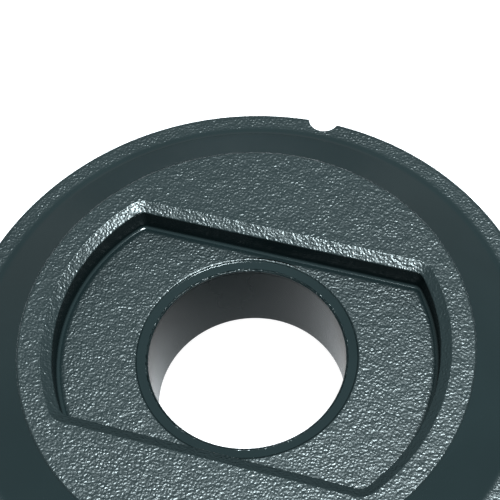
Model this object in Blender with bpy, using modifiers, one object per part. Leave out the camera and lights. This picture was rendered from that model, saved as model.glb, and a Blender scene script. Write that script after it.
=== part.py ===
"""Desk grommet: a round cable outlet that is clamped through a hole in a desk top.

The snap-in cover has a raised flat top with a bevelled double-D pocket and a countersunk cable bore.
It sits in a threaded liner, which a ring nut clamps to the desk from below.
Metres, +Z up. The origin is on the bore's axis, at the lower end of the liner.
"""

import math

import bmesh
import bpy
from mathutils import Matrix, Vector

MM = 0.001

# General
SEGMENTS = 72                               # facets round every turned piece
TOUCH_GAP = 0.3 * MM                        # between pieces that rest on each other
RUNNING_GAP = 0.4 * MM                      # between pieces that turn or slide
CUT_MARGIN = 2.0 * MM                       # how far a cutter runs past what it cuts

# The desk
DESK_HOLE_RADIUS = 40.0 * MM
DESK_THICKNESS = 25.0 * MM                  # the desk that the nut is set for at rest

# Cover: rim, slope and flat top
RIM_OVERLAP = 5.0 * MM                      # rim's edge beyond the hole in the desk
RIM_WIDTH = 3.6 * MM                        # rim's edge to the foot of the slope
RIM_THICKNESS = 2.1 * MM
RIM_EDGE_RADIUS = 0.8 * MM
RIM_FOOT_CHAMFER = 0.3 * MM
TOP_RISE = 4.4 * MM                         # flat top above the rim
SLOPE_ANGLE = math.radians(30.0)
SLOPE_FILLET = 4.0 * MM                     # slope into rim
COVER_WALL = 2.0 * MM
NOTCH_RADIUS = 2.5 * MM
NOTCH_OVERHANG = 0.45 * MM                  # the notch's centre lies this far outside the rim

# Cover: double-D pocket
POCKET_TOP_LAND = 3.3 * MM                  # pocket's bevel to the edge of the flat top
POCKET_BORE_LAND = 1.15 * MM                # countersink to the pocket's straight walls
POCKET_CORNER_RADIUS = 1.6 * MM
POCKET_DEPTH = 5.05 * MM
POCKET_BEVEL_WIDTH = 1.6 * MM
POCKET_BEVEL_DEPTH = 0.9 * MM
POCKET_FILLET = 1.0 * MM
POCKET_WALL = 2.0 * MM
POCKET_FLOOR = 2.0 * MM

# Cover: cable bore
BORE_RADIUS = 15.0 * MM
BORE_WALL = 2.0 * MM
BORE_DEPTH = 20.8 * MM                      # flat top to the tube's lower end
COUNTERSINK_WIDTH = 1.95 * MM
COUNTERSINK_DEPTH = 0.9 * MM

# Cover: skirt and ribs
SKIRT_DEPTH = 13.7 * MM                     # liner flange's top to the skirt's lower end
SKIRT_WALL = 3.2 * MM
RIB_COUNT = 6
RIB_THICKNESS = 1.6 * MM
RIB_DEPTH = 6.5 * MM                        # below the top's underside

# Snap ring
WIRE_RADIUS = 0.8 * MM
RING_OPENING = math.radians(14.0)
RING_HEIGHT = 4.0 * MM                      # above the skirt's lower end
RING_POINTS = 60

# Liner
SLEEVE_HOLE_GAP = 0.6 * MM                  # sleeve's crest to the hole in the desk
SLEEVE_TAIL = 2.2 * MM                      # sleeve below the nut at rest
SLEEVE_NECK = 8.0 * MM                      # plain sleeve between thread and desk's top face
SLEEVE_WALL = 2.0 * MM                      # behind the thread
THREAD_DEPTH = 1.0 * MM
THREAD_PITCH = 4.0 * MM
THREAD_START = 1.0 * MM                     # above the sleeve's lower end
LINER_FLANGE_THICKNESS = 1.2 * MM
LINER_FLANGE_INSET = 1.0 * MM               # inside the cover's edge
FLANGE_CHAMFER = 0.3 * MM
KEYWAY_WIDTH = 4.0 * MM
KEYWAY_DEPTH = 1.4 * MM                     # below the thread's crest
GRIP_RIB_COUNT = 4
GRIP_RIB_WIDTH = 1.6 * MM
GRIP_RIB_RISE = 0.8 * MM                    # above the sleeve's crest
GRIP_RIB_LENGTH = 6.0 * MM

# Rings on the desk
GASKET_THICKNESS = 1.0 * MM
GASKET_INSET = 0.1 * MM                     # inside the liner flange's edge
RING_CHAMFER = 0.2 * MM
PAD_THICKNESS = 1.0 * MM
PAD_WIDTH = 4.0 * MM
WASHER_THICKNESS = 1.2 * MM
WASHER_WIDTH = 4.7 * MM
WASHER_KEY_GAP = 0.5 * MM                   # key to keyway, on each side

# Nut
NUT_HEIGHT = 8.0 * MM
NUT_HUB_WALL = 2.9 * MM
NUT_CHAMFER = 0.4 * MM
NUT_COLLAR_HEIGHT = 2.4 * MM
NUT_COLLAR_WIDTH = 1.9 * MM                 # beyond the hub
NUT_RIB_COUNT = 12
NUT_RIB_WIDTH = 2.4 * MM
NUT_RIB_RISE = 1.4 * MM
SCREW_RADIUS = 1.2 * MM
SCREW_LENGTH = 2.4 * MM
SCREW_HEIGHT = 2.8 * MM                     # above the nut's lower face
SCREW_SOCKET_RADIUS = 0.65 * MM
SCREW_SOCKET_DEPTH = 1.2 * MM
SCREW_FACETS = 16

# Heights and radii that follow from the sizes above
NUT_FOOT = SLEEVE_TAIL
NUT_TOP = NUT_FOOT + NUT_HEIGHT
WASHER_FOOT = NUT_TOP + TOUCH_GAP
WASHER_TOP = WASHER_FOOT + WASHER_THICKNESS
PAD_FOOT = WASHER_TOP + TOUCH_GAP
PAD_TOP = PAD_FOOT + PAD_THICKNESS
DESK_TOP = PAD_TOP + DESK_THICKNESS
LINER_FLANGE_FOOT = DESK_TOP + GASKET_THICKNESS + TOUCH_GAP
LINER_FLANGE_TOP = LINER_FLANGE_FOOT + LINER_FLANGE_THICKNESS
RIM_FOOT = LINER_FLANGE_TOP + TOUCH_GAP
RIM_TOP = RIM_FOOT + RIM_THICKNESS
FLAT_TOP = RIM_TOP + TOP_RISE
COVER_RADIUS = DESK_HOLE_RADIUS + RIM_OVERLAP
SLOPE_FOOT_RADIUS = COVER_RADIUS - RIM_WIDTH
TOP_RADIUS = SLOPE_FOOT_RADIUS - TOP_RISE / math.tan(SLOPE_ANGLE)
POCKET_ARC_RADIUS = TOP_RADIUS - POCKET_TOP_LAND - POCKET_BEVEL_WIDTH
POCKET_HALF_FLATS = BORE_RADIUS + COUNTERSINK_WIDTH + POCKET_BORE_LAND
POCKET_BED = FLAT_TOP - POCKET_DEPTH
TUBE_FOOT = FLAT_TOP - BORE_DEPTH
SLEEVE_CREST = DESK_HOLE_RADIUS - SLEEVE_HOLE_GAP
SLEEVE_ROOT = SLEEVE_CREST - THREAD_DEPTH
SLEEVE_BORE = SLEEVE_ROOT - SLEEVE_WALL
LINER_FLANGE_RADIUS = COVER_RADIUS - LINER_FLANGE_INSET
THREAD_TURNS = int((DESK_TOP - SLEEVE_NECK - THREAD_START) / THREAD_PITCH)
THREAD_TOP = THREAD_START + THREAD_TURNS * THREAD_PITCH
KEYWAY_BED = SLEEVE_CREST - KEYWAY_DEPTH
GRIP_RIB_CREST = SLEEVE_CREST + GRIP_RIB_RISE
SKIRT_OUTER = SLEEVE_BORE - RUNNING_GAP
SKIRT_INNER = SKIRT_OUTER - SKIRT_WALL
SKIRT_FOOT = LINER_FLANGE_TOP - SKIRT_DEPTH
RING_LEVEL = SKIRT_FOOT + RING_HEIGHT
RING_RADIUS = SKIRT_OUTER - WIRE_RADIUS - RUNNING_GAP / 4
GROOVE_BED = RING_RADIUS - WIRE_RADIUS - TOUCH_GAP
GROOVE_HALF_HEIGHT = WIRE_RADIUS + TOUCH_GAP
NUT_BORE = SLEEVE_CREST + RUNNING_GAP
NUT_HUB = NUT_BORE + NUT_HUB_WALL


def clear_scene():
    """Remove every object, so that the script starts from nothing."""
    for thing in list(bpy.data.objects):
        bpy.data.objects.remove(thing, do_unlink=True)


def make_collection(name):
    """A new collection in the scene."""
    group = bpy.data.collections.new(name)
    bpy.context.scene.collection.children.link(group)
    return group


def make_material(name, colour, roughness, metallic=0.0):
    """A Principled material with one colour."""
    material = bpy.data.materials.new(name)
    material.use_nodes = True
    shader = material.node_tree.nodes["Principled BSDF"]
    shader.inputs["Base Color"].default_value = (*colour, 1.0)
    shader.inputs["Roughness"].default_value = roughness
    shader.inputs["Metallic"].default_value = metallic
    material.diffuse_color = (*colour, 1.0)
    return material


def add_object(name, mesh, group, material=None):
    """An object for a mesh, in a collection."""
    thing = bpy.data.objects.new(name, mesh)
    group.objects.link(thing)
    if material is not None:
        mesh.materials.append(material)
    return thing


def mesh_from(name, bm):
    """A mesh that takes over a bmesh, with outward normals."""
    bmesh.ops.recalc_face_normals(bm, faces=bm.faces)
    mesh = bpy.data.meshes.new(name)
    bm.to_mesh(mesh)
    bm.free()
    return mesh


def turned(name, profile, group, material=None):
    """A closed profile of (radius, height) points, turned a full circle about Z.

    The profile runs down the piece's outer side and back up its inner side.
    """
    mesh = bpy.data.meshes.new(name)
    points = [(radius, 0.0, height) for radius, height in profile]
    edges = [(i, (i + 1) % len(points)) for i in range(len(points))]
    mesh.from_pydata(points, edges, [])
    thing = add_object(name, mesh, group, material)
    screw = thing.modifiers.new("turn", "SCREW")
    screw.steps = SEGMENTS
    screw.render_steps = SEGMENTS
    screw.use_merge_vertices = True
    screw.merge_threshold = 0.00001
    return thing


def ring(name, inner, outer, foot, top, chamfer, group, material):
    """A flat ring with chamfered outer corners."""
    profile = [
        (inner, top),
        (outer - chamfer, top),
        (outer, top - chamfer),
        (outer, foot + chamfer),
        (outer - chamfer, foot),
        (inner, foot),
    ]
    return turned(name, profile, group, material)


def block(bm, centre, size, turn=0.0):
    """Add a box to a bmesh, then turn it about Z."""
    place = Matrix.Rotation(turn, 4, "Z") @ Matrix.Translation(Vector(centre))
    bmesh.ops.create_cube(bm, size=1.0, matrix=place @ Matrix.Diagonal((*size, 1.0)))


def cylinder(bm, radius, length, place, segments, end_radius=None):
    """Add a capped cylinder or cone to a bmesh, along its own Z and centred on it."""
    bmesh.ops.create_cone(
        bm,
        cap_ends=True,
        segments=segments,
        radius1=radius,
        radius2=radius if end_radius is None else end_radius,
        depth=length,
        matrix=place,
    )


def cutter(name, bm, tools):
    """A hidden object that is cut out of another or joined to it."""
    thing = add_object(name, mesh_from(name, bm), tools)
    thing.hide_render = True
    thing.display_type = "WIRE"
    return thing


def combine(thing, other, operation):
    """Cut `other` out of `thing` (DIFFERENCE) or join it on (UNION)."""
    boolean = thing.modifiers.new(other.name, "BOOLEAN")
    boolean.object = other
    boolean.operation = operation
    boolean.solver = "EXACT"


def shade(thing):
    """Round stretches smooth, corners sharp."""
    thing.data.shade_smooth()
    thing.data.set_sharp_from_angle(angle=math.radians(35.0))


def double_d(offset, height, arc_steps=14, corner_steps=3):
    """The pocket's outline, moved outwards by `offset`, as points at one height.

    Two flats at y = +-half_flats are joined by two arcs about the axis. A small corner arc touches
    both: its centre lies one corner radius inside each of them.
    """
    flats = POCKET_HALF_FLATS + offset
    arc = POCKET_ARC_RADIUS + offset
    corner = max(POCKET_CORNER_RADIUS + offset, 0.1 * MM)
    centre_y = flats - corner
    centre_x = math.sqrt((arc - corner) ** 2 - centre_y ** 2)
    arc_end = math.atan2(centre_y, centre_x)
    quarter = []
    for step in range(arc_steps // 2 + 1):
        angle = arc_end * step / (arc_steps // 2)
        quarter.append((arc * math.cos(angle), arc * math.sin(angle)))
    for step in range(1, corner_steps + 1):
        angle = arc_end + (math.pi / 2 - arc_end) * step / corner_steps
        quarter.append((centre_x + corner * math.cos(angle), centre_y + corner * math.sin(angle)))
    right_top = quarter
    left_top = [(-x, y) for x, y in reversed(quarter)]
    left_bottom = [(-x, -y) for x, y in quarter[1:]]
    right_bottom = [(x, -y) for x, y in reversed(quarter[1:])]
    return [Vector((x, y, height)) for x, y in right_top + left_top + left_bottom + right_bottom]


def loft(bm, sections):
    """Walls between outlines that have the same number of points, with both ends closed."""
    rings = [[bm.verts.new(point) for point in section] for section in sections]
    for lower, upper in zip(rings, rings[1:]):
        for i, vertex in enumerate(lower):
            j = (i + 1) % len(lower)
            bm.faces.new((vertex, lower[j], upper[j], upper[i]))
    bm.faces.new(list(reversed(rings[0])))
    bm.faces.new(rings[-1])


def arc_points(centre, radius, start, end, steps):
    """Points on an arc, both ends included. Angles in radians from +radius towards +height."""
    points = []
    for step in range(steps + 1):
        angle = start + (end - start) * step / steps
        points.append((centre[0] + radius * math.cos(angle), centre[1] + radius * math.sin(angle)))
    return points


def cover_shell_profile():
    """Half section of the cover's outer shell with its skirt, without pocket or tube."""
    tangent = SLOPE_FILLET * math.tan(SLOPE_ANGLE / 2)
    fillet_centre = (SLOPE_FOOT_RADIUS + tangent, RIM_TOP + SLOPE_FILLET)
    fillet = arc_points(fillet_centre, SLOPE_FILLET, -math.pi / 2 - SLOPE_ANGLE, -math.pi / 2, 3)
    edge_centre = (COVER_RADIUS - RIM_EDGE_RADIUS, RIM_TOP - RIM_EDGE_RADIUS)
    edge = arc_points(edge_centre, RIM_EDGE_RADIUS, math.pi / 2, 0.0, 3)
    underside_shift = COVER_WALL * math.tan(SLOPE_ANGLE / 2)
    top_underside = FLAT_TOP - COVER_WALL
    skirt_top = top_underside - (SKIRT_OUTER - TOP_RADIUS + underside_shift) * math.tan(SLOPE_ANGLE)
    rim_inner = TOP_RADIUS - underside_shift + (top_underside - RIM_FOOT) / math.tan(SLOPE_ANGLE)
    outside = [(BORE_RADIUS - CUT_MARGIN, FLAT_TOP), (TOP_RADIUS, FLAT_TOP)] + fillet + edge
    foot = [
        (COVER_RADIUS, RIM_FOOT + RIM_FOOT_CHAMFER),
        (COVER_RADIUS - RIM_FOOT_CHAMFER, RIM_FOOT),
        (rim_inner, RIM_FOOT),
        (SKIRT_OUTER, skirt_top),
    ]
    skirt = [
        (SKIRT_OUTER, RING_LEVEL + GROOVE_HALF_HEIGHT),
        (GROOVE_BED, RING_LEVEL + GROOVE_HALF_HEIGHT),
        (GROOVE_BED, RING_LEVEL - GROOVE_HALF_HEIGHT),
        (SKIRT_OUTER, RING_LEVEL - GROOVE_HALF_HEIGHT),
        (SKIRT_OUTER, SKIRT_FOOT),
        (SKIRT_INNER, SKIRT_FOOT),
        (SKIRT_INNER, top_underside),
        (BORE_RADIUS - CUT_MARGIN, top_underside),
    ]
    return outside + foot + skirt


def make_cover(parts, tools, material):
    """Snap-in cover: rim, slope, flat top, pocket, bore tube, skirt and ribs in one moulding."""
    cover = turned("cover", cover_shell_profile(), parts, material)
    top_middle = FLAT_TOP - COVER_WALL / 2

    bm = bmesh.new()
    sections = [
        double_d(POCKET_WALL, POCKET_BED - POCKET_FLOOR),
        double_d(POCKET_WALL, top_middle),
    ]
    loft(bm, sections)
    combine(cover, cutter("pocket_box", bm, tools), "UNION")

    bm = bmesh.new()
    tube_top = POCKET_BED - POCKET_FLOOR / 2
    place = Matrix.Translation((0.0, 0.0, (tube_top + TUBE_FOOT) / 2))
    cylinder(bm, BORE_RADIUS + BORE_WALL, tube_top - TUBE_FOOT, place, SEGMENTS)
    combine(cover, cutter("bore_tube", bm, tools), "UNION")

    bm = bmesh.new()
    rib_reach = SKIRT_INNER + SKIRT_WALL / 3
    rib_start = POCKET_HALF_FLATS + POCKET_WALL / 2
    for i in range(RIB_COUNT):
        turn = 2 * math.pi * (i + 0.5) / RIB_COUNT
        centre = ((rib_start + rib_reach) / 2, 0.0, top_middle - RIB_DEPTH / 2)
        block(bm, centre, (rib_reach - rib_start, RIB_THICKNESS, RIB_DEPTH), turn)
    combine(cover, cutter("cover_ribs", bm, tools), "UNION")

    bm = bmesh.new()
    fillet_steps = 4
    sections = []
    for step in range(fillet_steps + 1):
        angle = math.pi / 2 * step / fillet_steps
        inset = POCKET_FILLET * (1.0 - math.sin(angle))
        rise = POCKET_FILLET * (1.0 - math.cos(angle))
        sections.append(double_d(-inset, POCKET_BED + rise))
    bevel_slope = POCKET_BEVEL_WIDTH / POCKET_BEVEL_DEPTH
    sections.append(double_d(0.0, FLAT_TOP - POCKET_BEVEL_DEPTH))
    overshoot = POCKET_BEVEL_DEPTH + COVER_WALL / 2
    sections.append(double_d(overshoot * bevel_slope, FLAT_TOP + COVER_WALL / 2))
    loft(bm, sections)
    combine(cover, cutter("pocket_cut", bm, tools), "DIFFERENCE")

    bm = bmesh.new()
    bore_length = BORE_DEPTH + 2 * CUT_MARGIN
    place = Matrix.Translation((0.0, 0.0, (FLAT_TOP + TUBE_FOOT) / 2))
    cylinder(bm, BORE_RADIUS, bore_length, place, SEGMENTS)
    combine(cover, cutter("bore_cut", bm, tools), "DIFFERENCE")

    bm = bmesh.new()
    slope = COUNTERSINK_WIDTH / COUNTERSINK_DEPTH
    below = COUNTERSINK_DEPTH * 1.5
    above = COUNTERSINK_DEPTH
    wide = BORE_RADIUS + COUNTERSINK_WIDTH + above * slope
    narrow = BORE_RADIUS + COUNTERSINK_WIDTH - below * slope
    place = Matrix.Translation((0.0, 0.0, POCKET_BED + (above - below) / 2))
    cylinder(bm, narrow, above + below, place, SEGMENTS, wide)
    combine(cover, cutter("countersink_cut", bm, tools), "DIFFERENCE")

    bm = bmesh.new()
    notch_height = RIM_THICKNESS + 2 * CUT_MARGIN
    place = Matrix.Translation((0.0, COVER_RADIUS + NOTCH_OVERHANG, (RIM_FOOT + RIM_TOP) / 2))
    cylinder(bm, NOTCH_RADIUS, notch_height, place, SEGMENTS // 3)
    combine(cover, cutter("notch_cut", bm, tools), "DIFFERENCE")
    return cover


def make_snap_ring(parts, material):
    """Split ring of round spring wire in the skirt's groove."""
    curve = bpy.data.curves.new("snap_ring", "CURVE")
    curve.dimensions = "3D"
    curve.bevel_depth = WIRE_RADIUS
    curve.bevel_resolution = 1
    curve.use_fill_caps = True
    curve.materials.append(material)
    spline = curve.splines.new("POLY")
    spline.points.add(RING_POINTS - 1)
    sweep = 2 * math.pi - RING_OPENING
    for i, point in enumerate(spline.points):
        angle = -math.pi / 2 + RING_OPENING / 2 + sweep * i / (RING_POINTS - 1)
        point.co = (RING_RADIUS * math.cos(angle), RING_RADIUS * math.sin(angle), RING_LEVEL, 1.0)
    thing = bpy.data.objects.new("snap_ring", curve)
    parts.objects.link(thing)
    return thing


def liner_profile():
    """Half section of the liner: flange, plain neck, thread and bore."""
    profile = [
        (SLEEVE_BORE, LINER_FLANGE_TOP),
        (LINER_FLANGE_RADIUS - FLANGE_CHAMFER, LINER_FLANGE_TOP),
        (LINER_FLANGE_RADIUS, LINER_FLANGE_TOP - FLANGE_CHAMFER),
        (LINER_FLANGE_RADIUS, LINER_FLANGE_FOOT),
        (SLEEVE_CREST, LINER_FLANGE_FOOT),
        (SLEEVE_CREST, THREAD_TOP + THREAD_PITCH / 2),
    ]
    for turn in range(THREAD_TURNS):
        level = THREAD_TOP - turn * THREAD_PITCH
        profile.append((SLEEVE_ROOT, level))
        profile.append((SLEEVE_CREST, level - THREAD_PITCH / 2))
    profile.append((SLEEVE_ROOT, THREAD_START))
    profile.append((SLEEVE_ROOT, 0.0))
    profile.append((SLEEVE_BORE, 0.0))
    return profile


def make_liner(parts, tools, material):
    """Sleeve through the desk, with a flange, thread crests, two keyways and grip ribs."""
    liner = turned("liner", liner_profile(), parts, material)

    bm = bmesh.new()
    rib_inner = SLEEVE_ROOT
    rib_centre = ((rib_inner + GRIP_RIB_CREST) / 2, 0.0, LINER_FLANGE_FOOT - GRIP_RIB_LENGTH / 2)
    rib_size = (GRIP_RIB_CREST - rib_inner, GRIP_RIB_WIDTH, GRIP_RIB_LENGTH + FLANGE_CHAMFER)
    for i in range(GRIP_RIB_COUNT):
        block(bm, rib_centre, rib_size, 2 * math.pi * (i + 0.5) / GRIP_RIB_COUNT)
    combine(liner, cutter("grip_ribs", bm, tools), "UNION")

    bm = bmesh.new()
    for turn in (0.0, math.pi):
        centre = (KEYWAY_BED + CUT_MARGIN, 0.0, (THREAD_TOP - CUT_MARGIN) / 2)
        block(bm, centre, (2 * CUT_MARGIN, KEYWAY_WIDTH, THREAD_TOP + CUT_MARGIN), turn)
    combine(liner, cutter("keyways", bm, tools), "DIFFERENCE")
    return liner


def make_gasket(parts, material):
    """Foam ring under the liner's flange."""
    inner = GRIP_RIB_CREST + TOUCH_GAP
    outer = LINER_FLANGE_RADIUS - GASKET_INSET
    top = DESK_TOP + GASKET_THICKNESS
    return ring("flange_gasket", inner, outer, DESK_TOP, top, RING_CHAMFER, parts, material)


def make_pad(parts, material):
    """Rubber ring against the desk's underside."""
    inner = SLEEVE_CREST + RUNNING_GAP
    outer = inner + PAD_WIDTH
    return ring("friction_pad", inner, outer, PAD_FOOT, PAD_TOP, RING_CHAMFER, parts, material)


def make_washer(parts, tools, material):
    """Steel ring with two inward keys that run in the liner's keyways."""
    inner = SLEEVE_CREST + RUNNING_GAP
    outer = inner + WASHER_WIDTH
    washer = ring("clamp_washer", inner, outer, WASHER_FOOT, WASHER_TOP, RING_CHAMFER, parts, material)
    bm = bmesh.new()
    key_tip = KEYWAY_BED + WASHER_KEY_GAP
    key_root = inner + WASHER_WIDTH / 3
    key_width = KEYWAY_WIDTH - 2 * WASHER_KEY_GAP
    key_size = (key_root - key_tip, key_width, WASHER_THICKNESS - 2 * RING_CHAMFER)
    for turn in (0.0, math.pi):
        block(bm, ((key_tip + key_root) / 2, 0.0, (WASHER_FOOT + WASHER_TOP) / 2), key_size, turn)
    combine(washer, cutter("washer_keys", bm, tools), "UNION")
    return washer


def nut_profile():
    """Half section of the ring nut: collar on top, hub below."""
    collar = NUT_HUB + NUT_COLLAR_WIDTH
    collar_foot = NUT_TOP - NUT_COLLAR_HEIGHT
    chamfer = NUT_CHAMFER
    return [
        (NUT_BORE, NUT_TOP),
        (collar - chamfer, NUT_TOP),
        (collar, NUT_TOP - chamfer),
        (collar, collar_foot),
        (NUT_HUB, collar_foot),
        (NUT_HUB, NUT_FOOT + chamfer),
        (NUT_HUB - chamfer, NUT_FOOT),
        (NUT_BORE + chamfer, NUT_FOOT),
        (NUT_BORE, NUT_FOOT + chamfer),
    ]


def screw_turns():
    """The two lock screws' angles round the nut, each between two finger ribs."""
    first = math.pi / NUT_RIB_COUNT
    return [first, math.pi - first]


def radial_place(turn, radius, height):
    """A place on a radius at an angle, with its own Z pointing outwards."""
    spin = Matrix.Rotation(turn, 4, "Z")
    shift = Matrix.Translation((radius, 0.0, height))
    return spin @ shift @ Matrix.Rotation(math.pi / 2, 4, "Y")


def make_nut(parts, tools, material):
    """Ring nut with finger ribs and two tapped holes for the lock screws."""
    nut = turned("clamp_nut", nut_profile(), parts, material)

    bm = bmesh.new()
    rib_foot = NUT_FOOT + 2 * NUT_CHAMFER
    rib_top = NUT_TOP - NUT_COLLAR_HEIGHT / 2
    rib_inner = NUT_HUB - NUT_HUB_WALL / 3
    rib_outer = NUT_HUB + NUT_RIB_RISE
    rib_centre = ((rib_inner + rib_outer) / 2, 0.0, (rib_foot + rib_top) / 2)
    rib_size = (rib_outer - rib_inner, NUT_RIB_WIDTH, rib_top - rib_foot)
    for i in range(NUT_RIB_COUNT):
        block(bm, rib_centre, rib_size, 2 * math.pi * i / NUT_RIB_COUNT)
    combine(nut, cutter("nut_ribs", bm, tools), "UNION")

    bm = bmesh.new()
    for turn in screw_turns():
        place = radial_place(turn, NUT_BORE + NUT_HUB_WALL / 2, NUT_FOOT + SCREW_HEIGHT)
        length = NUT_HUB_WALL + 2 * CUT_MARGIN
        cylinder(bm, SCREW_RADIUS + TOUCH_GAP, length, place, SCREW_FACETS)
    combine(nut, cutter("screw_holes", bm, tools), "DIFFERENCE")
    return nut


def make_lock_screws(parts, tools, material):
    """Two set screws with round sockets in the nut's hub."""
    screws = []
    for i, turn in enumerate(screw_turns()):
        outer_end = NUT_HUB - TOUCH_GAP
        bm = bmesh.new()
        place = radial_place(turn, outer_end - SCREW_LENGTH / 2, NUT_FOOT + SCREW_HEIGHT)
        cylinder(bm, SCREW_RADIUS, SCREW_LENGTH, place, SCREW_FACETS)
        name = "lock_screw_{}".format(i + 1)
        screw = add_object(name, mesh_from(name, bm), parts, material)
        bm = bmesh.new()
        place = radial_place(turn, outer_end, NUT_FOOT + SCREW_HEIGHT)
        cylinder(bm, SCREW_SOCKET_RADIUS, 2 * SCREW_SOCKET_DEPTH, place, 6)
        combine(screw, cutter(name + "_socket", bm, tools), "DIFFERENCE")
        screws.append(screw)
    return screws


def main():
    """Build every piece of the grommet."""
    clear_scene()
    parts = make_collection("desk_grommet")
    tools = make_collection("desk_grommet_cutters")
    grained = make_material("grained_plastic", (0.045, 0.060, 0.058), 0.45)
    smooth = make_material("smooth_plastic", (0.020, 0.024, 0.024), 0.40)
    foam = make_material("gasket_foam", (0.030, 0.030, 0.032), 0.90)
    rubber = make_material("pad_rubber", (0.022, 0.022, 0.022), 0.75)
    zinc = make_material("zinc_plated_steel", (0.620, 0.640, 0.660), 0.35, 1.0)
    spring = make_material("spring_steel", (0.450, 0.460, 0.470), 0.30, 1.0)

    turned_pieces = [
        make_cover(parts, tools, grained),
        make_liner(parts, tools, smooth),
        make_gasket(parts, foam),
        make_pad(parts, rubber),
        make_washer(parts, tools, zinc),
        make_nut(parts, tools, smooth),
    ]
    make_snap_ring(parts, spring)
    for piece in turned_pieces + make_lock_screws(parts, tools, spring):
        shade(piece)


main()
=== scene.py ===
"""Desk grommet: the finished look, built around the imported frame.

Each sub-assembly is a class that works its surfaces out with numpy, as rings of points round an
axis or along a path. Each finish is a small frozen class that makes one node material.
Metres, +Z up; the origin is on the bore's axis at the lower end of the liner.
"""

import logging
import math
from dataclasses import dataclass, field
from enum import Enum
from typing import Any, Optional, Protocol, Sequence

import bpy
import numpy as np
from mathutils import Matrix, Vector


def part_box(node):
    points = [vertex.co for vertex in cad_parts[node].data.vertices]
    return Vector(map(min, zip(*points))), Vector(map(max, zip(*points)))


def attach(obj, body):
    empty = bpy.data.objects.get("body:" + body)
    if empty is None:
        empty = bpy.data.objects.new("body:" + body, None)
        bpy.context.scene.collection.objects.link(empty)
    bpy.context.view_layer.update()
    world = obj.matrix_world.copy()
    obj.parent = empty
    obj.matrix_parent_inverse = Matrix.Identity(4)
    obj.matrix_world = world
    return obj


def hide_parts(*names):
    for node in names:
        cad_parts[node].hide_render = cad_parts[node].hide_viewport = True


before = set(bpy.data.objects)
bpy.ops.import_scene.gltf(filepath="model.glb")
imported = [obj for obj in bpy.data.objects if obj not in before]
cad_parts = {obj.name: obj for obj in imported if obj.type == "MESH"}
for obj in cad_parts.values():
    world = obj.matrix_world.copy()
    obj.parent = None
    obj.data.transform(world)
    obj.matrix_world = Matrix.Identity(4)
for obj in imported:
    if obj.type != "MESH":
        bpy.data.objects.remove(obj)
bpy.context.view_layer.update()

LOG = logging.getLogger("desk_grommet")
MM = 0.001
TAU = 2.0 * math.pi
FAR = 1.0                                   # metres, farther out than any point of the object

THREAD_FOOT = 0.66                          # a thread's half width at its root, in half pitches
THREAD_FLANK = 0.36                         # and the width of each flank

PathCorner = tuple[float, float, float]     # distance from the axis, height, corner radius


# --- Finishes ---


def srgb(code: str) -> tuple[float, float, float, float]:
    """Linear colour of an sRGB hex code.

    Args:
        code: six hex digits, red first.

    Returns:
        Linear red, green, blue and alpha 1.
    """
    channels = [int(code[i:i + 2], 16) / 255.0 for i in (0, 2, 4)]
    linear = [c / 12.92 if c <= 0.04045 else ((c + 0.055) / 1.055) ** 2.4 for c in channels]
    return (linear[0], linear[1], linear[2], 1.0)


def add_node(tree: bpy.types.NodeTree, kind: str, settings: dict[str, Any],
             sockets: dict[Any, Any]) -> bpy.types.Node:
    """Add one node to a tree.

    Args:
        tree: the node tree.
        kind: the node's type name without its "ShaderNode" prefix.
        settings: the node's own properties.
        sockets: input name or number, with a value or an output socket to link from.

    Returns:
        The new node.
    """
    node = tree.nodes.new("ShaderNode" + kind)
    for name, value in settings.items():
        setattr(node, name, value)
    feed(tree, node, sockets)
    return node


def feed(tree: bpy.types.NodeTree, node: bpy.types.Node, sockets: dict[Any, Any]) -> None:
    """Set a node's inputs directly, or link them from other nodes.

    Args:
        tree: the node tree.
        node: the node to feed.
        sockets: input name or number, with a value or an output socket to link from.
    """
    for key, value in sockets.items():
        if isinstance(value, bpy.types.NodeSocket):
            tree.links.new(value, node.inputs[key])
        else:
            node.inputs[key].default_value = value


def blank_material(name: str) -> tuple[bpy.types.Material, bpy.types.NodeTree, bpy.types.Node,
                                       bpy.types.NodeSocket]:
    """A material that has only its Principled shader, its output and the place on the piece.

    Args:
        name: the material's name.

    Returns:
        The material, its node tree, its shader, and the Object coordinates to read patterns by.
    """
    material = bpy.data.materials.new(name)
    material.use_nodes = True
    tree = material.node_tree
    place = add_node(tree, "TexCoord", {}, {}).outputs["Object"]
    return material, tree, tree.nodes["Principled BSDF"], place


class Finish(Protocol):
    """Anything that makes one material."""

    def material(self) -> bpy.types.Material:
        """Build the node material."""


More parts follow.
